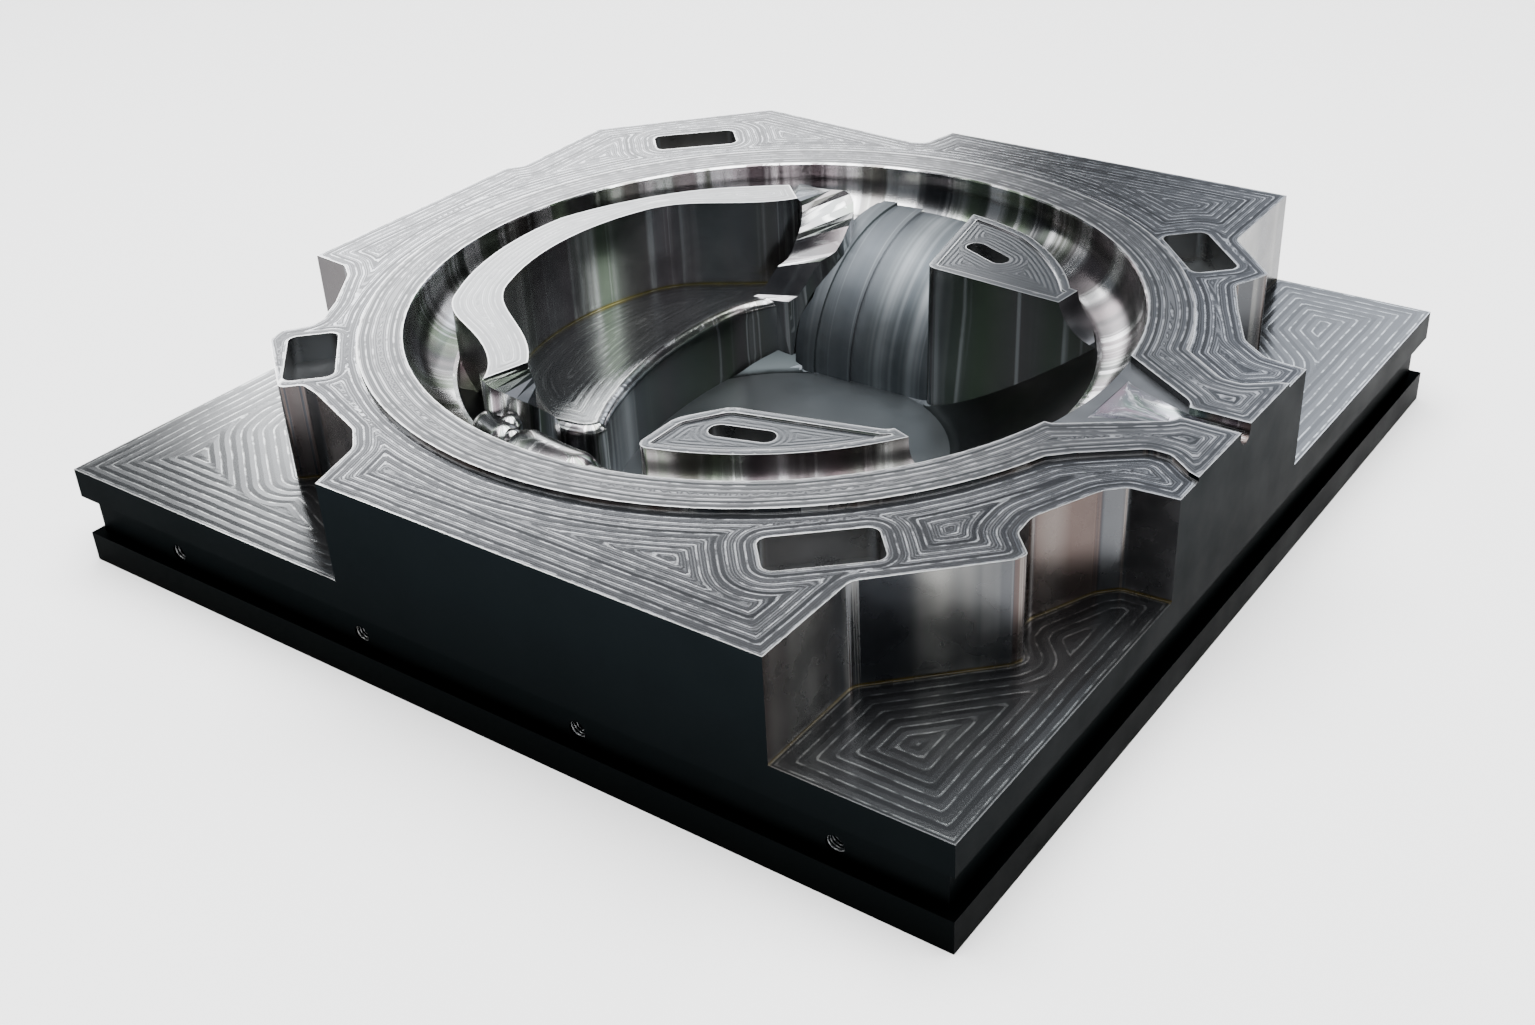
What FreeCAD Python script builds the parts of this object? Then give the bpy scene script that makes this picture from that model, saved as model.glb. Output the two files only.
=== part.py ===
import FreeCAD
import Part
import math
import os

# Mould cavity insert, milled from one square block of tool steel.
# Millimetres, origin at the middle of the flat bottom face, +Z up, parting side on top.

# Outer block
block_side = 500.0
plateau_height = 102.0      # top of the raised middle
ledge_height = 52.5         # flat corner ledges
edge_break = 0.8            # small bevel on the cavity rim

# Clamping groove round all four sides
lower_flange = 16.0
groove_height = 21.0
groove_depth = 5.0
side_hole_diameter = 8.5
side_hole_depth = 25.0
side_hole_pitch = 127.0
side_hole_count = 4
side_hole_height = 22.5     # above the bottom face
side_hole_shift = 5.0       # the row sits off centre to the right

# Cavity
cavity_x = -3.0
cavity_y = 0.0
rim_radius = 183.0
floor_height = 14.5
floor_radius = 92.0         # flat round floor, before the wall climbs
wall_blend = 9.0            # floor to sloping wall
cove_radius = 22.0          # quarter round trough inside the rim
channel_width = 20.0        # clear trough between rim wall and the inner forms
land_rise = 2.0             # sealing land above the plateau
land_width = 23.0

# Winding ridge and the shelf inside it
ridge_width = 24.0
shelf_height = 54.5
lip_round = 5.0

# Forms that stand on the floor
saddle_height = 91.0
saddle_radius = 75.0
saddle_step = 1.6
slotted_block_height = 95.0
slotted_block_draft = 2.0   # degrees, front face
slot_length = 31.0
slot_width = 10.5
slot_depth = 14.0
border_width = 4.5
border_depth = 0.8
flare_radius = 26.0         # hollow that runs each tip down to the cove
ramp_steps = 2              # flats from one ramp point to the next

# Heel pockets in the four tabs
heel_length = 49.0
heel_width = 24.5
heel_corner = 5.0
heel_depth = 14.0

# Gate and runner on the right
gate_y = -10.0
gate_depth = 3.5
gate_mouth = 76.0
gate_neck = 18.0
gate_length = 46.0
runner_width = 10.0
runner_depth = 7.5

# Clearances between forms and cutters
form_bury = 6.0             # forms start this far below the floor and melt into it
cutter_overrun = 20.0       # cutters reach this far above the land
form_inset = 3.0            # standing forms end this far inside the circle that bounds them
land_bury = 1.0             # how far the land's own slab sinks into the plateau
saddle_inset = 5.0          # the barrel's axis lies this far inside the same circle

half = block_side / 2
land_height = plateau_height + land_rise
land_radius = rim_radius + land_width
channel_radius = rim_radius - channel_width
cove_height = land_height - 5.0 - cove_radius
side_scale = block_side / 500.0         # ledges and heel pockets are drawn in plan for this side
form_scale = channel_radius / 163.0     # the inner forms are drawn in plan for this channel radius
root = floor_height - form_bury
over = land_height + cutter_overrun
centre = FreeCAD.Vector(cavity_x, cavity_y, 0)


def at(x, y, z=0.0):
    return FreeCAD.Vector(x, y, z)


def unit(vector):
    return vector / vector.Length


def polar(radius, angle, z=0.0):
    turn = math.radians(angle)
    return at(radius * math.cos(turn), radius * math.sin(turn), z)


def ringed(inset, angle):
    # a point at this inset from the circle that bounds the inner forms
    return polar(channel_radius - inset * form_scale, angle)


def spot(x, y, z=0.0):
    # a point of the inner forms, drawn in plan from the middle of the cavity
    return at(x * form_scale, y * form_scale, z)


def drawn(corners, scale):
    return [(x * scale, y * scale, r * scale) for x, y, r in corners]


def outline(corners):
    # straight runs joined by tangent arcs; each corner is x, y, radius
    count = len(corners)
    ends = []
    for i in range(count):
        x, y, radius = corners[i]
        point = at(x, y)
        back = at(corners[i - 1][0], corners[i - 1][1]) - point
        ahead = at(corners[(i + 1) % count][0], corners[(i + 1) % count][1]) - point
        half_angle = back.getAngle(ahead) / 2
        room = 0.48 * min(back.Length, ahead.Length)
        run = min(radius / math.tan(half_angle), room)
        middle = unit(unit(back) + unit(ahead))
        reach = run / math.cos(half_angle) - run * math.tan(half_angle)
        ends.append((point + unit(back) * run, point + middle * reach, point + unit(ahead) * run))
    edges = []
    for i in range(count):
        start, middle, end = ends[i]
        if corners[i][2] > 0:
            edges.append(Part.Arc(start, middle, end).toShape())
        edges.append(Part.makeLine(end, ends[(i + 1) % count][0]))
    return Part.Wire(edges)


def prism(wire, bottom, top):
    face = Part.Face(wire)
    face.translate(at(0, 0, bottom))
    return face.extrude(at(0, 0, top - bottom))


def arc(radius, start, end):
    return Part.Arc(polar(radius, start), polar(radius, (start + end) / 2), polar(radius, end)).toShape()


def smooth(points):
    curve = Part.BSplineCurve()
    curve.interpolate(points)
    return curve.toShape()


def paced(points):
    # places along a free curve that passes its points at even steps, so two such runs pair up
    curve = Part.BSplineCurve()
    fall = land_height - shelf_height
    places = [spot(x, y, land_height - 0.1 - share * fall) for x, y, share in points]
    curve.interpolate(Points=places, Parameters=[float(i) for i in range(len(points))])
    count = ramp_steps * (len(points) - 1)
    return [curve.value(i / ramp_steps) for i in range(count + 1)]


def polygon(points):
    return Part.Face(Part.makePolygon(points + points[:1]))


def disc(radius, bottom, top):
    return Part.makeCylinder(radius, top - bottom, at(0, 0, bottom))


def upright_edges(shape, keep):
    found = []
    for edge in shape.Edges:
        if len(edge.Vertexes) < 2:
            continue
        a = edge.Vertexes[0].Point
        b = edge.Vertexes[1].Point
        if abs(a.x - b.x) < 0.01 and abs(a.y - b.y) < 0.01 and keep(a):
            found.append(edge)
    return found


# Corner ledges. Each outline runs from one side of the block to the other, measured inwards
# from the block's own corner along X and Y, with the radius of each turn.
ledge_left = [(190, 0, 0), (178, 30, 12), (165, 42, 8), (125, 57, 20), (112, 60, 5), (104, 52, 4),
              (60, 85, 5), (57, 95, 5), (68, 110, 12), (55, 133, 20), (35, 160, 12), (24, 168, 6)]
ledge_front = [(80, 0, 0), (80, 57, 8), (35, 102, 4), (32, 108, 3), (43, 120, 5), (44, 133, 12),
               (30, 165, 14), (22, 173, 6)]
ledge_right = [(86, 0, 0), (85, 70, 8), (54, 103, 4), (58, 113, 5), (63, 123, 5), (50, 150, 12),
               (35, 178, 14), (20, 190, 8)]
ledge_back = [(205, 0, 0), (198, 23, 6), (190, 26, 6), (80, 18, 4), (5, 100, 4), (7, 172, 6)]
ledge_ends = {"left": 170.0, "front": 175.0, "right": 192.0, "back": 180.0}


def ledge_cutter(corners, end, side_x, side_y):
    clear = 10.0
    path = [(corners[0][0], -clear, 0)] + corners[1:]
    path += [(0, end, 0), (-clear, end, 0), (-clear, -clear, 0)]
    path = [(side_x * (half - x), side_y * (half - y), r) for x, y, r in drawn(path, side_scale)]
    return prism(outline(path), ledge_height, over)


def side_groove():
    inner = half - groove_depth
    ring = Part.makeBox(block_side, block_side, groove_height, at(-half, -half, lower_flange))
    return ring.cut(Part.makeBox(2 * inner, 2 * inner, groove_height, at(-inner, -inner, lower_flange)))


def side_holes():
    holes = []
    first = side_hole_shift - side_hole_pitch * (side_hole_count - 1) / 2
    for i in range(side_hole_count):
        start = at(first + i * side_hole_pitch, -half, side_hole_height)
        length = groove_depth + side_hole_depth
        holes.append(Part.makeCylinder(side_hole_diameter / 2, length, start, at(0, 1, 0)))
    return holes


def gate_land():
    # the sealing land runs out along both sides of the gate to the right face
    near = [(channel_radius, 90, 0), (land_radius - 8, 56, 16), (half - 27, 37, 9), (half - 17, 37, 7),
            (half - 5, 46, 6), (half, 48, 0)]
    path = [(x, gate_y - y, r) for x, y, r in near]
    path += [(x, gate_y + y, r) for x, y, r in reversed(near)]
    return prism(outline(path), plateau_height - land_bury, land_height)


def heel_pockets():
    pockets = []
    for x, y, turn in ((148, -180, 42), (-158, -167, -45), (155, 156, -46), (-179, 164, 43)):
        l = heel_length / 2
        w = heel_width / 2
        corners = [(-l, -w, heel_corner), (l, -w, heel_corner), (l, w, heel_corner), (-l, w, heel_corner)]
        pocket = prism(outline(corners), plateau_height - heel_depth, over)
        pocket.rotate(at(0, 0), at(0, 0, 1), turn)
        pocket.translate(at(x * side_scale, y * side_scale))
        pockets.append(pocket)
    return pockets


def bowl_cutter():
    # one revolved profile: floor, sloping wall, cove under the rim and the bevelled rim itself
    cove_edge = rim_radius - cove_radius
    slope = math.atan2(cove_height - floor_height, cove_edge - floor_radius)
    run = wall_blend * math.tan(slope / 2)
    foot = at(floor_radius, 0, floor_height)
    foot_in = foot - at(run, 0, 0)
    foot_out = foot + at(run * math.cos(slope), 0, run * math.sin(slope))
    foot_mid = at(foot_in.x + wall_blend * math.sin(slope / 2), 0,
                  floor_height + wall_blend * (1 - math.cos(slope / 2)))
    edge = at(cove_edge, 0, cove_height)
    cove_mid = at(cove_edge + cove_radius * math.sin(math.pi / 4), 0,
                  cove_height + cove_radius * (1 - math.cos(math.pi / 4)))
    cove_top = at(rim_radius, 0, cove_height + cove_radius)
    rim = at(rim_radius, 0, land_height - edge_break)
    bevel = at(rim_radius + edge_break, 0, land_height)
    top = at(rim_radius + edge_break, 0, over)
    profile = [Part.makeLine(at(0, 0, floor_height), foot_in),
               Part.Arc(foot_in, foot_mid, foot_out).toShape(),
               Part.makeLine(foot_out, edge),
               Part.Arc(edge, cove_mid, cove_top).toShape(),
               Part.makeLine(cove_top, rim),
               Part.makeLine(rim, bevel),
               Part.makeLine(bevel, top),
               Part.makeLine(top, at(0, 0, over)),
               Part.makeLine(at(0, 0, over), at(0, 0, floor_height))]
    return Part.Face(Part.Wire(profile)).revolve(at(0, 0), at(0, 0, 1), 360)


def ridge():
    # a flat-topped ridge that follows the channel, then winds inwards in an S near the front
    inner = channel_radius - ridge_width
    outer_back = [polar(channel_radius, 172), ringed(4, 163), ringed(8, 152), ringed(11, 141),
                  ringed(14, 131), ringed(14.5, 122)]
    inner_back = [ringed(35, 119.5), ringed(38.5, 125), ringed(38, 133), ringed(30, 144), polar(inner, 157)]
    inner_near = [polar(inner, 203), ringed(27, 214), ringed(32, 221), ringed(36, 229), ringed(36, 237),
                  ringed(30, 245)]
    outer_near = [ringed(6, 246.5), ringed(13, 242), ringed(16, 236), ringed(12, 226), ringed(5, 219.5),
                  polar(channel_radius, 209)]
    edges = [arc(channel_radius, 209, 172), smooth(outer_back), Part.makeLine(outer_back[-1], inner_back[0]),
             smooth(inner_back), arc(inner, 157, 203), smooth(inner_near),
             Part.makeLine(inner_near[-1], outer_near[0]), smooth(outer_near)]
    return prism(Part.Wire(edges), root, land_height)


def shelf():
    # the half-height shelf inside the ridge, with a rounded lip over the deep floor
    lip = [spot(-50, 96), spot(-60, 81), spot(-68, 67), spot(-73, 46), spot(-74, 20), spot(-72, -8),
           spot(-66, -36), spot(-58, -60), spot(-48, -80)]
    near_end = [lip[-1], spot(-52, -89), spot(-66, -93), spot(-80, -96)]
    outer = channel_radius - form_inset
    far_corner = polar(outer, 118)
    edges = [arc(outer, 231, 118), Part.makeLine(far_corner, lip[0]), smooth(lip), smooth(near_end),
             Part.makeLine(near_end[-1], polar(outer, 231))]
    body = prism(Part.Wire(edges), root, shelf_height)
    rounded = []
    for edge in body.Edges:
        box = edge.BoundBox
        level = abs(box.ZMin - shelf_height) < 0.01 and abs(box.ZMax - shelf_height) < 0.01
        free = box.XMax < lip[-1].x + 0.1 and near_end[-1].y - 0.1 < box.YMin and box.YMax < lip[0].y + 0.1
        if level and free:
            rounded.append(edge)
    return body.makeFillet(lip_round, rounded)


def shelf_pocket():
    # the shelf runs out to the ridge, so the sloping wall is cut away there
    reach = channel_radius - ridge_width + 2.0
    start = 125
    end = 235
    edges = [arc(reach, start, end), Part.makeLine(polar(reach, end), at(0, 0)),
             Part.makeLine(at(0, 0), polar(reach, start))]
    return prism(Part.Wire(edges), shelf_height, cove_height)


def winding_ramp(inner, outer):
    # a wall whose crest falls and waves between two free curves; each point is x, y and
    # its share of the fall from the land to the shelf
    a = paced(inner)
    b = paced(outer)
    a_foot = [at(p.x, p.y, root) for p in a]
    b_foot = [at(p.x, p.y, root) for p in b]
    faces = [polygon([a[0], b[0], b_foot[0], a_foot[0]]), polygon([a[-1], b[-1], b_foot[-1], a_foot[-1]]),
             polygon(a_foot + b_foot[::-1])]
    for i in range(len(a) - 1):
        faces.append(polygon([a[i], b[i], a[i + 1]]))
        faces.append(polygon([b[i], b[i + 1], a[i + 1]]))
        faces.append(polygon([a[i], a[i + 1], a_foot[i + 1], a_foot[i]]))
        faces.append(polygon([b[i], b[i + 1], b_foot[i + 1], b_foot[i]]))
    shell = Part.Shell(faces)
    shell.sewShape()
    wall = Part.Solid(shell)
    if wall.Volume < 0:
        wall.reverse()
    return wall


def back_ramp():
    # the ridge's far end turns back on itself and comes down to the lip in twisted steps
    inner = [(-67, 111, 0), (-62, 113, 0.04), (-59, 110, 0.14), (-57, 105, 0.28), (-57, 100, 0.40),
             (-59, 95, 0.59), (-63, 90, 0.67), (-68, 84, 0.89), (-74, 78, 1.01)]
    outer = [(-75, 131, 0), (-58, 138, 0.06), (-45, 138, 0.06), (-37, 129, 0.18), (-32, 116, 0.24),
             (-34, 106, 0.48), (-39, 98, 0.56), (-45, 91, 0.83), (-52, 84, 1.01)]
    return winding_ramp(inner, outer)


def near_ramp():
    # the near end turns in round the ridge and dies into the near end of the shelf
    inner = [(-60, -117, 0), (-57, -120, 0.04), (-56, -119.5, 0.12), (-56, -118, 0.24), (-57, -116, 0.36),
             (-60, -111, 0.52), (-66, -104, 0.71), (-74, -96, 0.89), (-82, -89, 1.01)]
    outer = [(-68, -141, 0), (-60, -145, 0.04), (-52, -142, 0.12), (-46, -134, 0.26), (-45, -125, 0.42),
             (-48, -116, 0.58), (-53, -108, 0.77), (-60, -101, 0.93), (-66, -96, 1.01)]
    return winding_ramp(inner, outer)


def fold(track_inset, start, end, radius, top):
    # a rounded fold that lies along the channel
    track = channel_radius - track_inset
    height = top - radius
    ring = Part.Face(Part.Wire(Part.makeCircle(radius, polar(track, start, height), polar(1, start + 90))))
    body = ring.revolve(at(0, 0), at(0, 0, 1), end - start)
    for angle in (start, end):
        body = body.fuse(Part.makeSphere(radius, polar(track, angle, height)))
    stem = Part.Face(Part.Wire([arc(track + radius, start, end), Part.makeLine(polar(track + radius, end),
                     polar(track - radius, end)), arc(track - radius, end, start),
                     Part.makeLine(polar(track - radius, start), polar(track + radius, start))]))
    stem.translate(at(0, 0, root))
    return body.fuse(stem.extrude(at(0, 0, height - root)))


def pleat(x, y, radius, top):
    # an upright pleat with a domed head
    stem = Part.makeCylinder(radius, top - radius - root, spot(x, y, root))
    return stem.fuse(Part.makeSphere(radius, spot(x, y, top - radius)))


def saddle_strip(corners, rise):
    # a barrel lying across the back of the cavity, cut to a strip
    radius = saddle_radius + rise
    axis_y = channel_radius - saddle_inset
    axis_z = saddle_height - saddle_radius
    reach = channel_radius
    barrel = Part.makeCylinder(radius, 2 * reach, at(-reach, axis_y, axis_z), at(1, 0, 0))
    barrel = barrel.fuse(Part.makeBox(2 * reach, cove_radius, radius, at(-reach, axis_y, axis_z)))
    strip = prism(outline(drawn(corners, form_scale)), root, over)
    return barrel.common(strip).common(disc(channel_radius - form_inset, root, over))


def saddle():
    left = saddle_strip([(-50, 70, 0), (-12, 70, 0), (-9, 175, 0), (-35, 175, 0)], 0.0)
    bead = saddle_strip([(-44, 70, 0), (-36, 70, 0), (-24, 175, 0), (-32, 175, 0)], saddle_step)
    right = saddle_strip([(-13, 70, 0), (42, 70, 0), (42, 175, 0), (-10, 175, 0)], -saddle_step)
    return left.fuse(bead).fuse(right)


def tip_hollow(x, y, turn):
    # a round hollow across a form's tip; its lowest line lies on x, y and runs towards turn
    reach = 60.0
    foot = spot(x, y, cove_height - 1.0 + flare_radius)
    tube = Part.makeCylinder(flare_radius, 2 * reach, foot, polar(1, turn))
    tube.translate(polar(-reach, turn))
    return tube


def bordered(body, top):
    # the top keeps a narrow raised border round a slightly sunk field
    crown = next(f for f in body.Faces if f.BoundBox.ZMin > top - 0.01)
    field = crown.makeOffset2D(-border_width)
    field.translate(at(0, 0, -border_depth))
    return body.cut(field.extrude(at(0, 0, over - top)))


def leaning(front, rest):
    # a prism up to the slotted block's top whose front corners move out towards the floor
    lean = (slotted_block_height - root) * math.tan(math.radians(slotted_block_draft))
    crown = outline(drawn(front + rest, form_scale))
    crown.translate(at(0, 0, slotted_block_height))
    base = outline(drawn([(x, y - lean, r) for x, y, r in front] + rest, form_scale))
    base.translate(at(0, 0, root))
    return Part.makeLoft([base, crown], True, True)


def slotted_block():
    # a block with a leaning front face and a rounded back, with a fin that flares to the cove
    back = disc(154 * form_scale, root, over)
    back.translate(spot(-15, 14.5))
    body = leaning([(38, 84.7, 6), (104, 80, 0), (143, 78, 0)], [(143, 190, 0), (20, 175, 0)]).common(back)
    fin = leaning([(104, 80, 0), (143, 78, 0)], [(145, 90, 0), (104, 100, 0)])
    body = body.fuse(fin).common(disc(channel_radius - form_inset, root, over))
    body = body.cut(tip_hollow(143, 80, 84))
    return bordered(body.removeSplitter(), slotted_block_height)


def boss():
    # a flat-topped boss between the channel and the deep floor, with a hollowed right tip
    corners = [(38, -170, 0), (38, -128, 14), (53, -107, 12), (124, -89, 8), (138, -64, 0), (166, -74, 0),
               (166, -170, 0)]
    body = prism(outline(drawn(corners, form_scale)), root, land_height)
    body = body.common(disc(channel_radius - 1.0, root, over))
    body = body.cut(tip_hollow(140, -64, -20))
    middle = spot(60, 0).x
    tips = upright_edges(body, lambda p: p.x < middle and math.hypot(p.x, p.y) > channel_radius - 2.0)
    return bordered(body.makeFillet(5.0, tips), land_height)


def slot(x, y, turn, top):
    r = slot_width / 2 - 0.01
    l = slot_length / 2
    w = slot_width / 2
    cutter = prism(outline([(-l, -w, r), (l, -w, r), (l, w, r), (-l, w, r)]), top - slot_depth, over)
    cutter.rotate(at(0, 0), at(0, 0, 1), turn)
    cutter.translate(spot(x, y))
    return cutter


def gate():
    # fan-shaped flat at the rim, then a scoop that gathers into the round-bottomed runner
    flat = land_height - gate_depth
    mouth = math.sqrt(rim_radius ** 2 - (gate_mouth / 2) ** 2) + cavity_x
    neck = mouth + gate_length
    fan = [(mouth - 14, gate_mouth / 2, 0), (mouth + 2, gate_mouth / 2, 3), (neck, gate_neck / 2, 10),
           (neck, -gate_neck / 2, 10), (mouth + 2, -gate_mouth / 2, 3), (mouth - 14, -gate_mouth / 2, 0)]
    cutter = prism(outline([(x, y + gate_y, r) for x, y, r in fan]), flat, over)
    radius = runner_width / 2
    deep = land_height - runner_depth + radius
    start = neck - 8
    runner = Part.makeCylinder(radius, half + 4 - start, at(start, gate_y, deep), at(1, 0, 0))
    open_top = Part.makeBox(half + 4 - start, runner_width, over - deep, at(start, gate_y - radius, deep))
    sections = []
    for x, wide, low, sag in ((mouth + 10, gate_mouth * 0.27, flat, 0.3), (neck, radius, deep, radius)):
        a = at(x, gate_y - wide, low)
        b = at(x, gate_y + wide, low)
        a_top = at(x, gate_y - wide, over)
        b_top = at(x, gate_y + wide, over)
        sections.append(Part.Wire([Part.Arc(a, at(x, gate_y, low - sag), b).toShape(),
                                   Part.makeLine(b, b_top), Part.makeLine(b_top, a_top),
                                   Part.makeLine(a_top, a)]))
    return [cutter, runner, open_top, Part.makeLoft(sections, True, True)]


def cavity_forms():
    return [shelf(), ridge(), back_ramp(), near_ramp(), saddle(), slotted_block(), boss(),
            fold(6, 247, 252, 9, cove_height + 10), fold(10, 257, 269, 13, cove_height + 9),
            fold(8, 273, 281, 10, cove_height + 6), pleat(-50, -143, 6.0, cove_height + 11),
            pleat(-42, -150, 5.0, cove_height + 9)]


def insert():
    block = Part.makeBox(block_side, block_side, plateau_height, at(-half, -half, 0))
    land = disc(land_radius, plateau_height - land_bury, land_height)
    land.translate(centre)
    block = block.fuse([land, gate_land()])
    ledges = [ledge_cutter(ledge_left, ledge_ends["left"], -1, -1),
              ledge_cutter(ledge_front, ledge_ends["front"], 1, -1),
              ledge_cutter(ledge_right, ledge_ends["right"], 1, 1),
              ledge_cutter(ledge_back, ledge_ends["back"], -1, 1)]
    bowl = bowl_cutter()
    bowl.translate(centre)
    block = block.cut(ledges + [side_groove(), bowl] + side_holes() + heel_pockets())
    pocket = shelf_pocket()
    pocket.translate(centre)
    block = block.cut(pocket)
    for form in cavity_forms():
        form.translate(centre)
        block = block.fuse(form)
    slots = [slot(56, 117, -24, slotted_block_height), slot(71, -123, 16, land_height)]
    for cutter in slots:
        cutter.translate(centre)
    return block.cut(slots + gate()).removeSplitter()


os.makedirs("parts", exist_ok=True)
part = insert()
part.exportStep("parts/cavity_insert.step")
print("solids", len(part.Solids), "valid", part.isValid(), "volume cm3", round(part.Volume / 1000))
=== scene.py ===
import math
import bmesh
import bpy
import numpy as np
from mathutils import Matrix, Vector
from mathutils.geometry import delaunay_2d_cdt


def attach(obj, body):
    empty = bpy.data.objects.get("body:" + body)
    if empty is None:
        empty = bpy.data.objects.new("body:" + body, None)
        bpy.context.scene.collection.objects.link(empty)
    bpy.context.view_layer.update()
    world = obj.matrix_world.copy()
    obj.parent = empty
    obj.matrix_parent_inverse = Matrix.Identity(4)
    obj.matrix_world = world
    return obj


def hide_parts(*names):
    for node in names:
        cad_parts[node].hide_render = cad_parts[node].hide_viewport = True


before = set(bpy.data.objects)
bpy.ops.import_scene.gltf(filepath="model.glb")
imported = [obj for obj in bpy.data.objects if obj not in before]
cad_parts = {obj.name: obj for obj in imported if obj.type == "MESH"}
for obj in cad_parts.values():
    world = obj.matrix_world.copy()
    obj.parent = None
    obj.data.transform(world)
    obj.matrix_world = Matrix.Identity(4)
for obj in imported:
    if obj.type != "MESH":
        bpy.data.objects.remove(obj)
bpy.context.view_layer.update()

mm = 0.001

# What a user would change on the insert. Lengths in millimetres.
insertBody = {
    "node": "cavity_insert",
    "plateauLevel": 102.0,
    "landLevel": 104.0,
    "ledgeLevel": 52.5,
    "shelfLevel": 54.5,
    "floorLevel": 14.5,
    "gateLevel": 100.5,
    "fieldLevels": (103.2, 94.2),  # sunk fields on the two slotted forms
    "borderLevels": (104.0, 95.0),
    "levelReach": 0.1,  # a flat counts as lying on a level within this
    "formsFrom": 15.0,  # the slotted forms stand right of this X
    "cavityCentre": (-3.0, 0.0),
    "cavityRadius": 183.9,  # rim with its bevel
    "cavityFrom": 10.0,  # faces lower than this belong to the block's outside
    "coveCorner": (161.0, 99.0),  # radius and height of the cove's own centre
    "coveRadius": 22.0,
    "coveCuts": 3,
    "wallFoot": (92.0, 14.5),  # where the sloping wall meets the floor, before their blend
    "blendReach": 8.0,  # the blend covers the wall's foot up to here
    "bevelDrop": 0.7,  # the rim's bevel starts this far under the land
    "bowlFit": (0.03, 0.4),  # how near the true bowl a corner and a face centre have to lie
    "slopeRise": 0.45,  # the sloping wall's normal has at least this Z
    "slopeFrom": -110.0,
    "blendTop": 30.0,
    "saddleAxis": (158.0, 16.0),  # Y and Z of the barrel the saddle is cut from
    "saddleRadius": (72.8, 77.2),
    "saddleSpan": (-54.0, 40.0),
    "scoop": (180.0, 236.0, 32.0, 86.0),  # the gate's hollow: from X, to X, half width and least height
    "pockets": [(148, -180, 30), (-158, -167, 30), (155, 156, 30), (-179, 164, 30), (53, 117, 17.5),
                (68, -123, 17.5)],  # X, Y and reach of each heel pocket and slot
    "pocketDepth": (80.0, 103.9),
    "groundSideDepth": 6.0,  # how far in the clamp groove counts as outer side
    "groundSideTop": 40.0,  # under this height every outer face is ground
    "meshSpacing": 2.6,  # grid of points that carries the cutter-path distance
    "clearance": 1.1,  # a grid point nearer than this to an outline is left out
    "smoothAngle": 32.0,  # degrees
}
flatRise = 0.9999  # least Z of a level face's normal


def linear(hexColour):
    parts = [int(hexColour[i:i + 2], 16) / 255 for i in (0, 2, 4)]
    return [p / 12.92 if p <= 0.04045 else ((p + 0.055) / 1.055) ** 2.4 for p in parts] + [1.0]


def addNode(tree, kind, inputs=None, **settings):
    node = tree.nodes.new(kind)
    for name, value in settings.items():
        setattr(node, name, value)
    for name, value in (inputs or {}).items():
        if isinstance(value, bpy.types.NodeSocket):
            tree.links.new(value, node.inputs[name])
        else:
            node.inputs[name].default_value = value
    return node


def newMaterial(name):
    material = bpy.data.materials.new(name)
    material.use_nodes = True
    tree = material.node_tree
    tree.nodes.clear()
    out = addNode(tree, "ShaderNodeOutputMaterial")
    shader = addNode(tree, "ShaderNodeBsdfPrincipled")
    tree.links.new(shader.outputs[0], out.inputs[0])
    return material, tree, shader


def flatFaces(bm, level):
    return [f for f in bm.faces if f.normal.z > flatRise and
            all(abs(v.co.z - level * mm) < 1e-5 for v in f.verts)]


def insideLoops(points, starts, ends):
    # even-odd count of outline crossings, for many points at once
    inside = np.zeros(len(points), bool)
    for a, b in zip(starts, ends):
        crosses = (a[1] > points[:, 1]) != (b[1] > points[:, 1])
        if not crosses.any():
            continue
        slope = (b[0] - a[0]) / (b[1] - a[1])
        inside ^= crosses & (points[:, 0] < a[0] + slope * (points[:, 1] - a[1]))
    return inside


def distanceToLoops(points, starts, ends):
    # shortest distance from each point to the outline
    best = np.full(len(points), 1e9)
    for a, b in zip(starts, ends):
        run = b - a
        along = np.clip(((points - a) @ run) / max(run @ run, 1e-18), 0, 1)
        gap = points - (a + along[:, None] * run)
        best = np.minimum(best, np.einsum("ij,ij->i", gap, gap))
    return np.sqrt(best)


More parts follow.
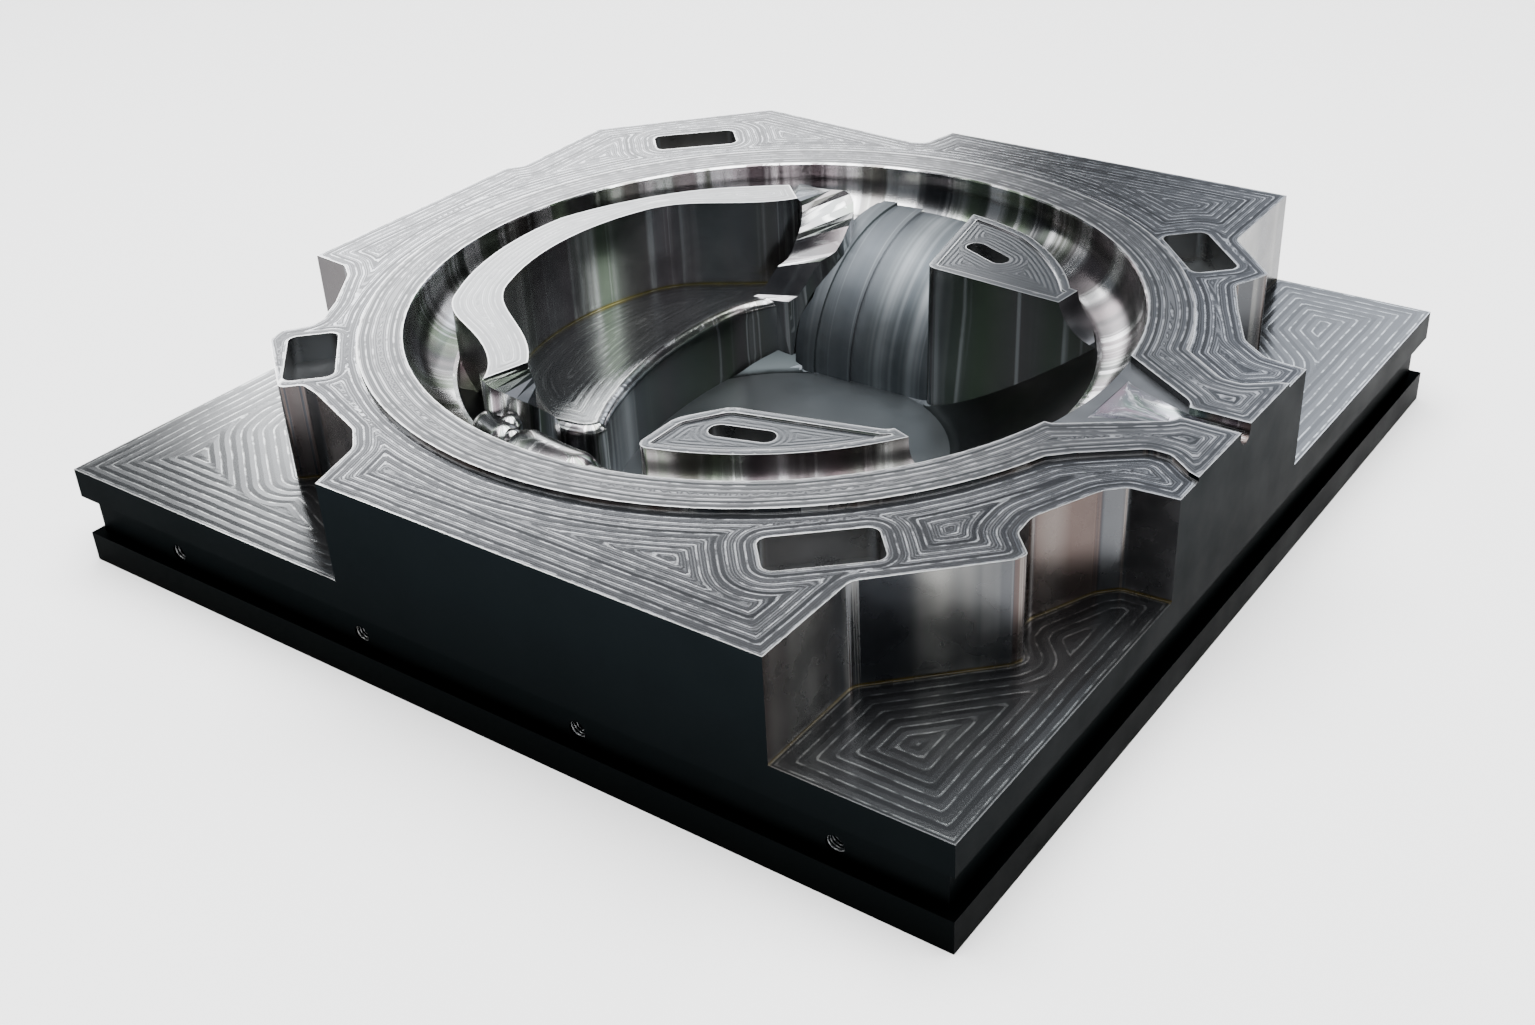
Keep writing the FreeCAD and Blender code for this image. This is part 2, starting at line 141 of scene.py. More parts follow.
def refineLevel(bm, level, layer, spec):
    # a milled flat gets an even grid of points, each with its distance to the nearest edge of the flat
    faces = flatFaces(bm, level)
    chosen = set(faces)
    rim = [e for e in bm.edges if sum(f in chosen for f in e.link_faces) == 1]
    corners = sorted({v for e in rim for v in e.verts}, key=lambda v: v.index)
    place = {v: i for i, v in enumerate(corners)}
    coords = np.array([v.co.xy[:] for v in corners])
    pairs = [(place[e.verts[0]], place[e.verts[1]]) for e in rim]
    starts = coords[[p[0] for p in pairs]]
    ends = coords[[p[1] for p in pairs]]
    step = spec["meshSpacing"] * mm
    low, high = coords.min(0), coords.max(0)
    rows = np.arange(low[1], high[1], step * math.sqrt(0.75))
    grid = np.array([(x + (step / 2 if i % 2 else 0), y) for i, y in enumerate(rows)
                     for x in np.arange(low[0], high[0], step)])
    grid = grid[insideLoops(grid, starts, ends)]
    gaps = distanceToLoops(grid, starts, ends)
    grid = grid[gaps > spec["clearance"] * mm]
    allPoints = [Vector(p) for p in coords] + [Vector(p) for p in grid]
    verts, _, triangles, origins, _, _ = delaunay_2d_cdt(allPoints, pairs, [], 0, 1e-7)
    flat = np.array([v[:] for v in verts])
    middle = np.array([flat[list(t)].mean(0) for t in triangles])
    keep = insideLoops(middle, starts, ends)
    depth = distanceToLoops(flat, starts, ends) / mm
    bmesh.ops.delete(bm, geom=faces, context="FACES_ONLY")
    made = []
    for i, source in enumerate(origins):
        known = [s for s in source if s < len(corners)]
        if known:
            made.append(corners[known[0]])
        else:
            made.append(bm.verts.new((flat[i][0], flat[i][1], level * mm)))
        made[-1][layer] = depth[i]
    for inside, triangle in zip(keep, triangles):
        if inside:
            try:
                bm.faces.new([made[i] for i in triangle])
            except ValueError:
                pass
    print("level", level, "corners", len(corners), "grid", len(grid), "faces", int(keep.sum()))


def onBowl(spec, point):
    # nearest place on the turned bowl: rim, cove or sloping wall, as radius and height
    radius = math.hypot(point.x / mm - spec["cavityCentre"][0], point.y / mm - spec["cavityCentre"][1])
    height = point.z / mm
    coveX, coveZ = spec["coveCorner"]
    if radius >= coveX and height >= coveZ:
        return radius, coveX + spec["coveRadius"], height
    if radius >= coveX:
        away = math.hypot(radius - coveX, height - coveZ)
        scale = spec["coveRadius"] / max(away, 1e-6)
        return radius, coveX + (radius - coveX) * scale, coveZ + (height - coveZ) * scale
    footX, footZ = spec["wallFoot"]
    rise = coveZ - spec["coveRadius"] - footZ
    run = coveX - footX
    along = ((radius - footX) * run + (height - footZ) * rise) / (run * run + rise * rise)
    return radius, footX + run * along, footZ + rise * along


def bowlGap(spec, point):
    radius, trueRadius, trueHeight = onBowl(spec, point)
    return math.hypot(radius - trueRadius, point.z / mm - trueHeight)


def refineBowl(bm, spec):
    # the turned wall and cove are cut finer and laid on their true curve, for clean reflections
    cornerFit, centreFit = spec["bowlFit"]
    chosen = []
    for face in bm.faces:
        if face.normal.z > flatRise or bowlGap(spec, face.calc_center_median()) >= centreFit:
            continue
        if all(onBowl(spec, v.co)[0] >= spec["wallFoot"][0] + spec["blendReach"] and
               v.co.z / mm <= spec["landLevel"] - spec["bevelDrop"] and
               bowlGap(spec, v.co) <= cornerFit for v in face.verts):
            chosen.append(face)
    edges = list({e for f in chosen for e in f.edges})
    made = bmesh.ops.subdivide_edges(bm, edges=edges, cuts=spec["coveCuts"], use_grid_fill=True)
    fresh = {g for g in made["geom_inner"] if isinstance(g, bmesh.types.BMVert)}
    cx, cy = spec["cavityCentre"]
    for vert in fresh:
        radius, trueRadius, trueHeight = onBowl(spec, vert.co)
        if bowlGap(spec, vert.co) < centreFit:
            scale = trueRadius / radius
            vert.co.x = (cx + (vert.co.x / mm - cx) * scale) * mm
            vert.co.y = (cy + (vert.co.y / mm - cy) * scale) * mm
            vert.co.z = trueHeight * mm
    print("bowl faces", len(chosen), "fresh points", len(fresh))


def cavityFinishOf(face, spec):
    # which finish a face inside the bowl has
    c = face.calc_center_median() / mm
    radius = math.hypot(c.x - spec["cavityCentre"][0], c.y - spec["cavityCentre"][1])
    coveStart = spec["coveCorner"][1] - spec["coveRadius"] - 0.2

    def on(*levels):
        return min(abs(c.z - z) for z in levels) < spec["levelReach"]

    if face.normal.z > flatRise:
        if c.x > spec["formsFrom"] and on(*spec["fieldLevels"]):
            return "field"
        if c.x > spec["formsFrom"] and on(*spec["borderLevels"]):
            return "border"
        for kind, level in (("crown", "landLevel"), ("shelf", "shelfLevel"), ("floor", "floorLevel")):
            if on(spec[level]):
                return kind
    if radius > spec["coveCorner"][0] + 2 and c.z > coveStart:
        return "rim"
    bow = math.hypot(c.y - spec["saddleAxis"][0], c.z - spec["saddleAxis"][1])
    if spec["saddleSpan"][0] < c.x < spec["saddleSpan"][1] and abs(face.normal.x) < 0.3:
        if spec["saddleRadius"][0] < bow < spec["saddleRadius"][1]:
            return "saddle"
    if face.normal.z > spec["slopeRise"] and c.x > spec["slopeFrom"] and c.z < coveStart:
        if c.z < spec["blendTop"] or bowlGap(spec, c * mm) < 1:
            return "slope"
    return "polished"


def outsideFinishOf(face, spec, half):
    # which finish a face of the block outside the bowl has
    c = face.calc_center_median() / mm
    if face.normal.z > flatRise:
        for kind, level in (("land", "landLevel"), ("milled", "plateauLevel"), ("ledge", "ledgeLevel")):
            if abs(c.z - spec[level]) < spec["levelReach"]:
                return kind
    inset = half - min(max(abs(v.co.x), abs(v.co.y)) for v in face.verts) / mm
    if c.z < spec["groundSideTop"] or inset < spec["groundSideDepth"] and abs(face.normal.z) < 0.9:
        return "sides"
    nearX, farX, reachY, lowest = spec["scoop"]
    if nearX < c.x < farX and abs(c.y) < reachY and c.z > lowest and face.normal.z > 0.3:
        return "scoop"
    return "walls"


def finishOf(face, spec, half):
    c = face.calc_center_median() / mm
    if face.normal.z > flatRise and abs(c.z - spec["gateLevel"]) < spec["levelReach"]:
        return "gate"
    radius = math.hypot(c.x - spec["cavityCentre"][0], c.y - spec["cavityCentre"][1])
    if radius < spec["cavityRadius"] and c.z > spec["cavityFrom"]:
        kind = cavityFinishOf(face, spec)
    else:
        kind = outsideFinishOf(face, spec, half)
    # painted light: walls down in the heel pockets take the paler copy of the wall steel
    if kind in ("walls", "polished") and spec["pocketDepth"][0] < c.z < spec["pocketDepth"][1]:
        if any(math.hypot(c.x - x, c.y - y) < reach for x, y, reach in spec["pockets"]):
            return "pocket"
    return kind


def dressInsert(spec, materials):
    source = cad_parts[spec["node"]]
    mesh = source.data.copy()
    mesh.name = "steelInsert"
    mesh.materials.clear()
    if "custom_normal" in mesh.attributes:
        mesh.attributes.remove(mesh.attributes["custom_normal"])  # the new flats need fresh ones
    bm = bmesh.new()
    bm.from_mesh(mesh)
    bmesh.ops.remove_doubles(bm, verts=bm.verts, dist=2e-6)
    bm.normal_update()
    refineBowl(bm, spec)
    bmesh.ops.triangulate(bm, faces=[f for f in bm.faces if len(f.verts) > 3])
    bm.normal_update()
    layer = bm.verts.layers.float.new("edgeDistance")
    levels = {spec["plateauLevel"], spec["landLevel"], spec["ledgeLevel"], spec["shelfLevel"]}
    for level in sorted(levels.union(spec["fieldLevels"], spec["borderLevels"])):
        refineLevel(bm, level, layer, spec)
        bm.verts.index_update()
        bm.normal_update()
    names = list(materials)
    half = source.dimensions.x / 2 / mm
    for face in bm.faces:
        face.smooth = True
        face.material_index = names.index(finishOf(face, spec, half))
    bm.to_mesh(mesh)
    bm.free()
    for name in names:
        mesh.materials.append(materials[name])
    mesh.set_sharp_from_angle(angle=math.radians(spec["smoothAngle"]))
    piece = bpy.data.objects.new("steelInsert", mesh)
    bpy.context.scene.collection.objects.link(piece)
    print("insert faces", len(mesh.polygons))
    return piece


# Tool steel, face milled: each cutter pass leaves thin lines on a darker satin ground, the lines painted bright as a
# painted highlight where the marks catch the light
plateauFinish = {
    "ground": "44464a",
    "between": "5d5f63",
    "line": "c4c6ca",
    "edge": "eeefef",
    "pitch": 3.8,  # step between two cutter passes, millimetres
    "lineWidth": 0.8,
    # colour of the painted highlight along each flat's edge
    "fineWidth": 0.5,
    "breaks": 0.47,  # lines fade where the noise is under this
    "roughness": 0.27,
    "wander": 1.6,  # how far a pass strays from its place, millimetres
    "wanderScale": 30.0,
    "patchScale": 130.0,
    "cloudScale": 14.0,
    "edgeWidth": (0.35, 0.8),  # painted highlight along each flat's edge, in place of light caught by a deburred edge: full up to the first, gone at the second, millimetres
    "scallop": (0.22, 0.0006),  # bump strength, and the scallops' depth in metres
}
ledgeFinish = dict(plateauFinish, ground="6e7072", between="808284", line="d6d9d9", pitch=5.4,
                   lineWidth=0.85, fineWidth=0.0, breaks=0.5, roughness=0.2)
landFinish = dict(plateauFinish, ground="47494c", between="5e6063", line="bcbdc0", pitch=3.4,
                  lineWidth=0.9, roughness=0.3)
crownFinish = dict(plateauFinish, ground="96989a", between="a2a4a6", line="c6c8ca", pitch=3.2,
                   lineWidth=0.6, roughness=0.34)
formTopFinish = dict(crownFinish, ground="54575b", between="5a5d61", line="62656a", edge="b9bbbd",
                     pitch=2.6, roughness=0.28)
borderFinish = dict(formTopFinish, ground="63666a", between="6b6e72")
shelfFinish = dict(plateauFinish, ground="8e9193", between="9ea1a1", line="cdd0d0", pitch=4.4,
                   lineWidth=0.8, breaks=0.52, roughness=0.22)


def calc(tree, operation, first, second=0.0):
    return addNode(tree, "ShaderNodeMath", {0: first, 1: second}, operation=operation).outputs[0]


def ramp(tree, value, start, end, low=0.0, high=1.0, blend="LINEAR"):
    return addNode(tree, "ShaderNodeMapRange", {0: value, 1: start, 2: end, 3: low, 4: high},
                   interpolation_type=blend).outputs[0]


def noise(tree, place, scale, detail=2.0, roughness=0.5):
    return addNode(tree, "ShaderNodeTexNoise", {"Vector": place, "Scale": scale, "Detail": detail,
                                                "Roughness": roughness}).outputs


def lineMask(tree, distance, pitch, width, soft):
    # 1 on lines that repeat every pitch, 0 between them
    turns = calc(tree, "DIVIDE", distance, pitch)
    away = calc(tree, "ABSOLUTE", calc(tree, "SUBTRACT", calc(tree, "FRACT", turns), 0.5))
    near = width / pitch / 2
    mask = ramp(tree, away, near * (1 - soft), near * (1 + soft), 1.0, 0.0, "SMOOTHSTEP")
    return mask, away, turns


def mixColour(tree, amount, first, second):
    mix = addNode(tree, "ShaderNodeMix", {0: amount}, data_type="RGBA")
    for name, value in (("A", first), ("B", second)):
        if isinstance(value, bpy.types.NodeSocket):
            tree.links.new(value, mix.inputs[name])
        else:
            mix.inputs[name].default_value = linear(value)
    return mix.outputs["Result"]


def cutterPaths(name, finish):
    material, tree, shader = newMaterial(name)
    place = addNode(tree, "ShaderNodeTexCoord").outputs["Object"]
    gap = addNode(tree, "ShaderNodeAttribute", attribute_name="edgeDistance").outputs["Fac"]
    drift = calc(tree, "MULTIPLY", noise(tree, place, finish["wanderScale"])[0], finish["wander"])
    moved = calc(tree, "ADD", gap, drift)
    line, away, turns = lineMask(tree, moved, finish["pitch"], finish["lineWidth"], 0.5)
    passNumber = calc(tree, "FLOOR", turns)
    passTone = addNode(tree, "ShaderNodeTexWhiteNoise", {"W": passNumber}, noise_dimensions="1D").outputs[0]
    patches = noise(tree, place, finish["patchScale"], 3.0)[0]
    unbroken = ramp(tree, patches, finish["breaks"] - 0.08, finish["breaks"] + 0.08, 0.15, 1.0)
    strength = calc(tree, "MULTIPLY", line, unbroken)
    if finish["fineWidth"]:
        fine, _, _ = lineMask(tree, moved, finish["pitch"] / 3, finish["fineWidth"], 0.6)
        faint = calc(tree, "MULTIPLY", calc(tree, "MULTIPLY", fine, passTone), 0.4)
        strength = calc(tree, "MAXIMUM", strength, faint)
    cloud = noise(tree, place, finish["cloudScale"], 3.0)[0]
    ground = mixColour(tree, passTone, finish["ground"], finish["between"])
    ground = mixColour(tree, cloud, finish["ground"], ground)
    # the cutter lines are real marks; their paler colour is a painted highlight
    colour = mixColour(tree, strength, ground, finish["line"])
    # painted highlight: a pale band along each flat's edge, standing in for light caught there
    edge = ramp(tree, gap, *finish["edgeWidth"], 1.0, 0.0)
    tree.links.new(mixColour(tree, edge, colour, finish["edge"]), shader.inputs["Base Color"])
    strengthOfBump, depth = finish["scallop"]
    bump = addNode(tree, "ShaderNodeBump", {"Height": away, "Strength": strengthOfBump, "Distance": depth})
    tree.links.new(bump.outputs[0], shader.inputs["Normal"])
    shader.inputs["Metallic"].default_value = 1.0
    shader.inputs["Roughness"].default_value = finish["roughness"]
    return material


# Tool steel, side milled or polished, with painted reflections: soft upright light bands, thin bright lines and
# green and mauve tints follow the way each wall faces, standing in for the lamps mirrored in the steel
wallFinish = {
    "ground": "34363a",
    "paintedStreak": "8c8b87",
    "tint": "52443f",
    "blush": "505153",
    "turnBands": 6.0,  # light bands round a full turn
    "runBands": (16.0, 16.0, 0.0),  # light bands per metre along X and Y
    "low": 0.5,
    "high": 0.84,
    "fineBands": 5.0,  # thin bright lines, so many times closer than the soft bands
    "fineEdges": (0.62, 0.72),
    "fineLight": 0.35,
    "hueEdges": (0.45, 0.65),
    "roughness": 0.27,
    "grainScale": 60.0,
    "grain": (0.05, 0.06),  # how far the roughness falls and climbs
    "foot": 52.5,  # height of the ledge the wall stands on, millimetres
    "footReach": 1.6,  # how high the burn line climbs
    "footFrom": 1000.0,  # the line is left of this X
    "burn": "463b17",
}
cavityFinish = dict(wallFinish, ground="787a7c", paintedStreak="f6f7f7", tint="6d7a69", blush="857c7f",
                    turnBands=4.5, runBands=(30.0, 0.0, 0.0), high=0.8, fineLight=0.5, roughness=0.21,
                    foot=54.5, footReach=2.0, footFrom=-55.0, burn="6b6224")
noBurn = -1000.0
rimFinish = dict(cavityFinish, ground="4c4d4f", paintedStreak="dededf", turnBands=9.0, runBands=(0.0, 0.0, 0.0),
                 low=0.46, high=0.62, fineBands=3.0, footFrom=noBurn)
saddleFinish = dict(cavityFinish, ground="51565b", tint="4a5053", blush="5c6064", paintedStreak="7c8185",
                    turnBands=0.3, runBands=(60.0, 0.0, 0.0), low=0.47, high=0.75, roughness=0.5,
                    footFrom=noBurn)
scoopFinish = dict(cavityFinish, ground="86838f", tint="70837b", blush="917c88", paintedStreak="f4f4f8",
                   turnBands=2.0, runBands=(40.0, 90.0, 0.0), low=0.46, high=0.72, roughness=0.3,
                   footFrom=noBurn)
# painted light: a paler copy of the wall steel for the heel pockets and slots, brightening the recesses
pocketLightenedFinish = dict(wallFinish, ground="7f8284", tint="777471", blush="8a8b8d", turnBands=2.0,
                    roughness=0.3, footFrom=noBurn)


def burnLine(tree, place, facing, finish):
    # 1 on a thin line round the foot of an upright wall
    axes = addNode(tree, "ShaderNodeSeparateXYZ", {0: place}).outputs
    foot = finish["foot"] * mm
    above = ramp(tree, axes["Z"], foot + 0.5 * mm, foot + finish["footReach"] * mm, 1.0, 0.0)
    lifted = calc(tree, "GREATER_THAN", axes["Z"], foot + 0.1 * mm)
    tilt = addNode(tree, "ShaderNodeSeparateXYZ", {0: facing}).outputs["Z"]
    steep = calc(tree, "LESS_THAN", tilt, 0.2)
    side = calc(tree, "LESS_THAN", axes["X"], finish["footFrom"] * mm)
    return calc(tree, "MULTIPLY", calc(tree, "MULTIPLY", above, calc(tree, "MULTIPLY", lifted, steep)), side)


def reflectionPaintedSteel(name, finish):
    material, tree, shader = newMaterial(name)
    place = addNode(tree, "ShaderNodeTexCoord").outputs["Object"]
    facing = addNode(tree, "ShaderNodeNewGeometry").outputs["Normal"]

    def vector(operation, first, second=(0.0, 0.0, 0.0)):
        return addNode(tree, "ShaderNodeVectorMath", {0: first, 1: second}, operation=operation).outputs[0]

    flattened = vector("NORMALIZE", vector("MULTIPLY", facing, (1.0, 1.0, 0.0)))
    turned = vector("MULTIPLY", flattened, (finish["turnBands"],) * 3)
    both = vector("ADD", turned, vector("MULTIPLY", place, finish["runBands"]))
    # painted reflection: light bands and thin bright lines set by the way each face turns, in place of lamps
    # mirrored in the steel
    soft = ramp(tree, noise(tree, both, 1.0, 3.0, 0.65)[0], finish["low"], finish["high"], blend="SMOOTHSTEP")
    thin = ramp(tree, noise(tree, both, finish["fineBands"], 1.0)[0], *finish["fineEdges"], 0.0, finish["fineLight"])
    hue = addNode(tree, "ShaderNodeSeparateColor", {0: noise(tree, both, 0.6)["Color"]}).outputs
    ground = mixColour(tree, ramp(tree, hue[0], *finish["hueEdges"]), finish["ground"], finish["tint"])
    ground = mixColour(tree, ramp(tree, hue[1], *finish["hueEdges"]), ground, finish["blush"])
    colour = mixColour(tree, calc(tree, "MAXIMUM", soft, thin), ground, finish["paintedStreak"])
    stain = burnLine(tree, place, facing, finish)
    tree.links.new(mixColour(tree, stain, colour, finish["burn"]), shader.inputs["Base Color"])
    fall, climb = finish["grain"]
    grain = noise(tree, place, finish["grainScale"], 4.0)[0]
    spread = ramp(tree, grain, 0.3, 0.7, finish["roughness"] - fall, finish["roughness"] + climb)
    tree.links.new(spread, shader.inputs["Roughness"])
    shader.inputs["Metallic"].default_value = 1.0
    return material


# Tool steel, ground: even and satin. Where it has a foot and a top colour, it changes from one to the other
sideFinish = {
    "top": "0e1214",
    "foot": "050606",
    "height": 100.0,  # the top colour is reached here, millimetres
    "roughness": 0.4,
    "grain": 0.05,
    "grainScale": 35.0,
    "grazing": "bcbcbc",
}
gateFinish = dict(sideFinish, top="6c6f73", foot="6c6f73", roughness=0.36, grainScale=60.0, grazing="ffffff")
floorFinish = dict(sideFinish, top="63686b", foot="63686b", roughness=0.36, grain=0.04, grainScale=25.0,
                   grazing="ffffff")
# painted shade: the floor's steel, darker at the foot of the sloping wall and near black from 30 mm up
slopeShadedFinish = dict(floorFinish, top="0e1011", foot="3c4143", height=30.0)


def groundSteel(name, finish):
    material, tree, shader = newMaterial(name)
    place = addNode(tree, "ShaderNodeTexCoord").outputs["Object"]
    grain = noise(tree, place, finish["grainScale"], 4.0)[0]
    spread = ramp(tree, grain, 0.3, 0.7, finish["roughness"] - finish["grain"],
                  finish["roughness"] + finish["grain"])
    tree.links.new(spread, shader.inputs["Roughness"])
    if finish["foot"] == finish["top"]:
        shader.inputs["Base Color"].default_value = linear(finish["top"])
    else:
        height = addNode(tree, "ShaderNodeSeparateXYZ", {0: place}).outputs["Z"]
        rise = ramp(tree, height, 0.0, finish["height"] * mm)
        tree.links.new(mixColour(tree, rise, finish["foot"], finish["top"]), shader.inputs["Base Color"])
    shader.inputs["Specular Tint"].default_value = linear(finish["grazing"])
    shader.inputs["Metallic"].default_value = 1.0
    return material


materials = {
    # fine bright contour lines on dark satin steel
    "milled": cutterPaths("faceMilledSteel", plateauFinish),
    # wide bright contour lines, nearly mirror-like between them
    "ledge": cutterPaths("ledgeMilledSteel", ledgeFinish),
    # close rings that follow the cavity
    "land": cutterPaths("turnedLandSteel", landFinish),
    # pale even satin
    "crown": cutterPaths("crownSteel", crownFinish),
    # grey satin with a faint painted highlight round the outline, a little paler on the borders
    "field": cutterPaths("fieldSteel", formTopFinish),
    "border": cutterPaths("borderSteel", borderFinish),
    # pale and glossy, with faint passes
    "shelf": cutterPaths("shelfSteel", shelfFinish),
    # painted reflection: upright light and dark streaks with a hint of green and mauve
    "polished": reflectionPaintedSteel("polishedSteel", cavityFinish),
    "rim": reflectionPaintedSteel("rimSteel", rimFinish),
    # soft blue-grey satin with painted reflection streaks across the barrel
    "saddle": reflectionPaintedSteel("saddleSteel", saddleFinish),
    # even green-grey satin; the slope is the same steel with painted shade, falling off into black up the wall
    "floor": groundSteel("cavityFloorSteel", floorFinish),
    "slope": groundSteel("slopeShadedSteel", slopeShadedFinish),
    # dark brown-grey painted reflection bands with a burn line at the foot
    "walls": reflectionPaintedSteel("wallSteel", wallFinish),
    # the wall steel painted lighter down in the pockets as painted light, with light grey painted reflection bands
    "pocket": reflectionPaintedSteel("pocketLightenedSteel", pocketLightenedFinish),
    # plain grey satin, and the hollow's pearly painted reflection
    "gate": groundSteel("gateSteel", gateFinish),
    "scoop": reflectionPaintedSteel("blendedHollow", scoopFinish),
    # blue-black ground sides
    "sides": groundSteel("darkGroundSteel", sideFinish),
}

# Side holes: turns of a screw thread inside each bore
holeThreads = {
    "firstHole": (-185.5, -244.2, 22.5),
    "holePitch": 127.0,
    "holeCount": 4,
    "boreRadius": 4.25,
    "threadPitch": 1.5,
    "turns": 13.0,
    "ridgeRadius": 0.5,
    "turnPoints": 24,
    "ridgeSides": 6,
}


def makeThreads(spec, material):
    tree = bpy.data.node_groups.new("threadTurns", "GeometryNodeTree")
    tree.interface.new_socket("Geometry", in_out="OUTPUT", socket_type="NodeSocketGeometry")
    values = {
        "First Hole": ("NodeSocketVector", [v * mm for v in spec["firstHole"]]),
        "Hole Step": ("NodeSocketVector", [spec["holePitch"] * mm, 0.0, 0.0]),
        "Hole Count": ("NodeSocketInt", spec["holeCount"]),
        "Bore Radius": ("NodeSocketFloat", spec["boreRadius"] * mm),
        "Thread Pitch": ("NodeSocketFloat", spec["threadPitch"] * mm),
        "Turns": ("NodeSocketFloat", spec["turns"]),
        "Ridge Radius": ("NodeSocketFloat", spec["ridgeRadius"] * mm),
    }
    sockets = {name: tree.interface.new_socket(name, in_out="INPUT", socket_type=kind)
               for name, (kind, _) in values.items()}
    given = addNode(tree, "NodeGroupInput").outputs
    length = calc(tree, "MULTIPLY", given["Thread Pitch"], given["Turns"])
    helix = addNode(tree, "GeometryNodeCurveSpiral", {
        "Resolution": spec["turnPoints"], "Rotations": given["Turns"], "Start Radius": given["Bore Radius"],
        "End Radius": given["Bore Radius"], "Height": length})
    profile = addNode(tree, "GeometryNodeCurvePrimitiveCircle", {
        "Resolution": spec["ridgeSides"], "Radius": given["Ridge Radius"]})
    ridge = addNode(tree, "GeometryNodeCurveToMesh", {
        "Curve": helix.outputs[0], "Profile Curve": profile.outputs[0], "Fill Caps": True})
    laid = addNode(tree, "GeometryNodeTransform", {
        "Geometry": ridge.outputs[0], "Rotation": (-math.pi / 2, 0.0, 0.0)})
    holes = addNode(tree, "GeometryNodeMeshLine", {
        "Count": given["Hole Count"], "Start Location": given["First Hole"], "Offset": given["Hole Step"]})
    placed = addNode(tree, "GeometryNodeInstanceOnPoints", {
        "Points": holes.outputs[0], "Instance": laid.outputs[0]})
    solid = addNode(tree, "GeometryNodeRealizeInstances", {"Geometry": placed.outputs[0]})
    dressed = addNode(tree, "GeometryNodeSetMaterial", {"Geometry": solid.outputs[0], "Material": material})
    end = addNode(tree, "NodeGroupOutput")
    tree.links.new(dressed.outputs[0], end.inputs[0])
    holder = bpy.data.objects.new("threadHolder", bpy.data.meshes.new("threadHolder"))
    bpy.context.scene.collection.objects.link(holder)
    modifier = holder.modifiers.new("threadTurns", "NODES")
    modifier.node_group = tree
    for name, (_, value) in values.items():
        modifier[sockets[name].identifier] = value
    view = bpy.context.evaluated_depsgraph_get()
    mesh = bpy.data.meshes.new_from_object(holder.evaluated_get(view))
    holder.modifiers.remove(modifier)
    bpy.data.objects.remove(holder)
    piece = bpy.data.objects.new("sideHoleThreads", mesh)
    bpy.context.scene.collection.objects.link(piece)
    print("thread faces", len(mesh.polygons))
    return piece


threads = makeThreads(holeThreads, materials["pocket"])
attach(threads, "root")
insert = dressInsert(insertBody, materials)
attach(insert, "root")
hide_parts("cavity_insert")
print("insert dressed")

# Stage: pale floor, soft panels, photograph's camera
stage = {
    "floorSize": 12.0,
    "floorColour": "f4f4f4",
    "cameraPlace": (0.48413, -0.65581, 0.47570),
    "cameraRight": (0.811794, 0.582231, -0.044684),
    "cameraUp": (-0.273321, 0.446476, 0.852030),
    "lens": 41.79,
    "skyDim": "282b2e",
    # each glow: direction, cosine where it starts, colour
    "glows": [((-0.743, 0.602, 0.220), 0.958, "ffffff"), ((-0.153, 0.869, 0.470), 0.966, "dadfe8")],
    "skyStrength": 3.6,
    # name, place, aimed at, width, height and watts
    "panels": [
        ("overhead", (0.1, -0.1, 2.6), (0, 0, 0), 3.2, 3.2, 370),
        ("backPanel", (-1.6, 1.58, 0.98), (0, 0, 0.1), 1.4, 0.7, 17),
        ("rightStrip", (1.7, 0.9, 0.9), (0, 0, 0.1), 0.4, 1.4, 8),
        ("leftStrip", (-1.6, -0.4, 1.1), (0, 0, 0.1), 0.4, 1.4, 5),
    ],
}


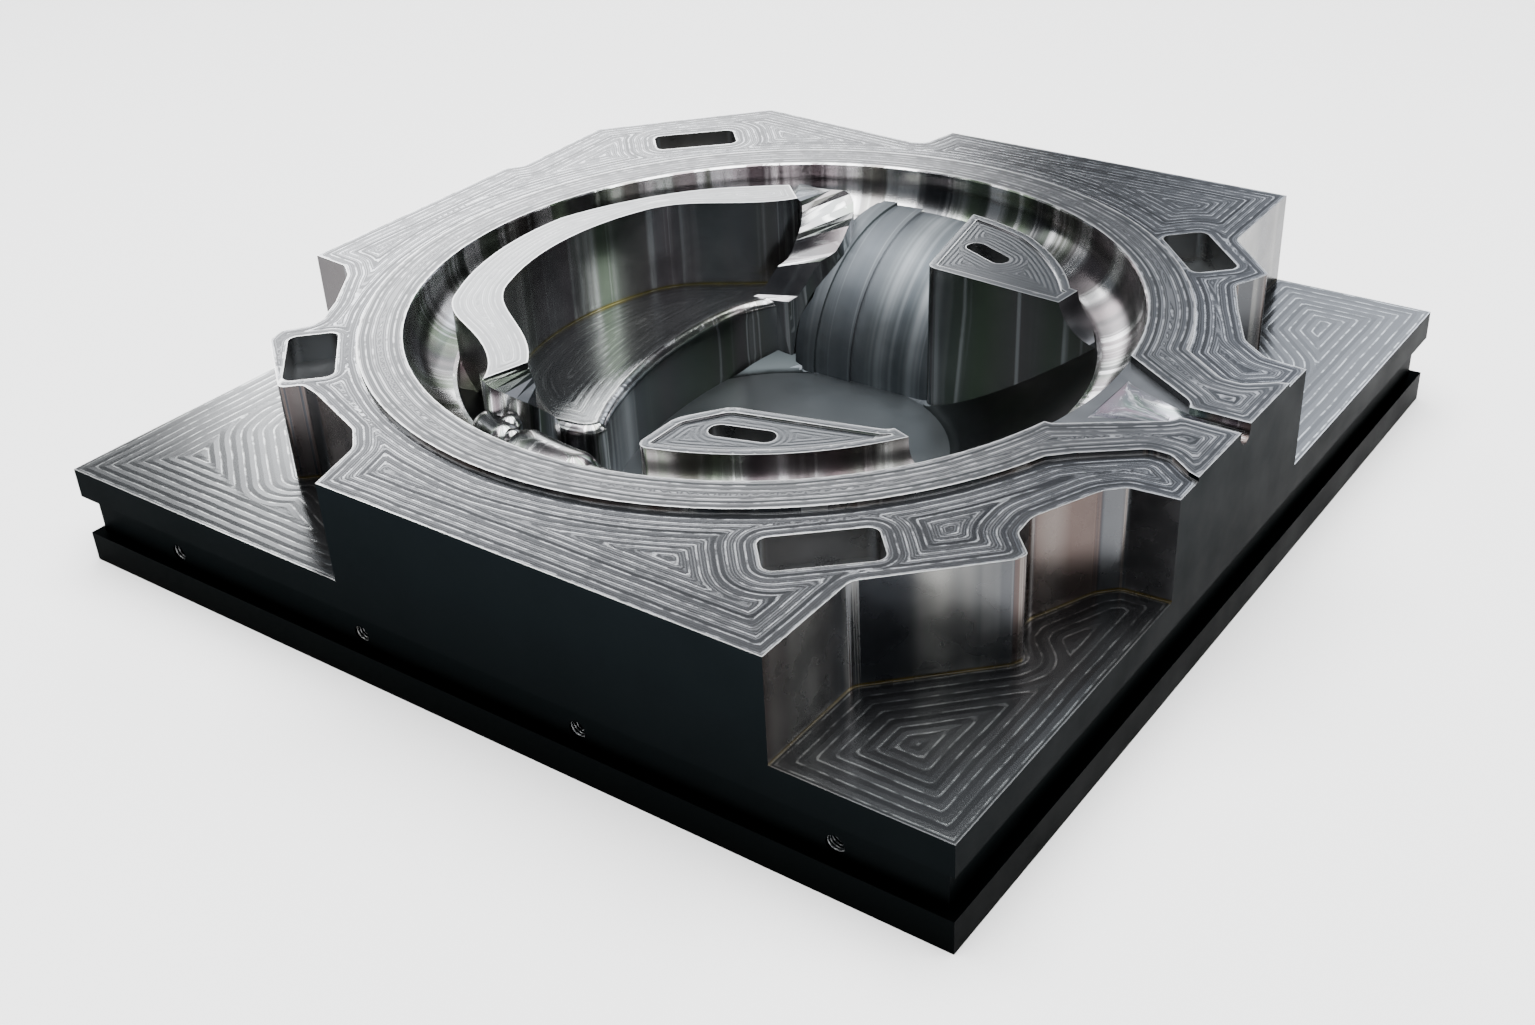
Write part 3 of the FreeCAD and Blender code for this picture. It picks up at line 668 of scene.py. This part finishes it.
def makeFloor(spec):
    half = spec["floorSize"] / 2
    mesh = bpy.data.meshes.new("floor")
    corners = [(-half, -half, 0), (half, -half, 0), (half, half, 0), (-half, half, 0)]
    mesh.from_pydata(corners, [], [(0, 1, 2, 3)])
    floor = bpy.data.objects.new("floor", mesh)
    bpy.context.scene.collection.objects.link(floor)
    material, _, shader = newMaterial("paleFloor")
    shader.inputs["Base Color"].default_value = linear(spec["floorColour"])
    shader.inputs["Roughness"].default_value = 0.9
    mesh.materials.append(material)


def softPanel(name, place, target, width, height, power):
    light = bpy.data.lights.new(name, "AREA")
    light.shape = "RECTANGLE"
    light.size = width
    light.size_y = height
    light.energy = power
    panel = bpy.data.objects.new(name, light)
    panel.location = place
    panel.rotation_euler = (Vector(target) - Vector(place)).to_track_quat("-Z", "Y").to_euler()
    bpy.context.scene.collection.objects.link(panel)


def makeCamera(spec):
    data = bpy.data.cameras.new("camera")
    data.lens = spec["lens"]
    data.sensor_width = 36.0
    camera = bpy.data.objects.new("camera", data)
    right = Vector(spec["cameraRight"]).normalized()
    up = Vector(spec["cameraUp"]).normalized()
    back = right.cross(up)
    turned = camera.matrix_world.to_3x3()
    for row in range(3):
        turned[row][0], turned[row][1], turned[row][2] = right[row], up[row], back[row]
    camera.matrix_world = turned.to_4x4()
    camera.location = spec["cameraPlace"]
    bpy.context.scene.collection.objects.link(camera)
    bpy.context.scene.camera = camera


def makeSky(spec):
    # a dim room that is bright low behind the block, so flats shine at the back and darken in front
    world = bpy.data.worlds.new("studio")
    world.use_nodes = True
    tree = world.node_tree
    ray = addNode(tree, "ShaderNodeTexCoord").outputs["Generated"]
    colour = spec["skyDim"]
    for direction, start, tint in spec["glows"]:
        towards = Vector(direction).normalized()
        facing = addNode(tree, "ShaderNodeVectorMath", {0: ray, 1: towards[:]}, operation="DOT_PRODUCT")
        glow = ramp(tree, facing.outputs["Value"], start, 1.0, blend="SMOOTHSTEP")
        colour = mixColour(tree, glow, colour, tint)
    background = tree.nodes["Background"]
    tree.links.new(colour, background.inputs[0])
    background.inputs[1].default_value = spec["skyStrength"]
    bpy.context.scene.world = world


makeFloor(stage)
makeCamera(stage)
for panel in stage["panels"]:
    softPanel(*panel)
makeSky(stage)
print("stage set")
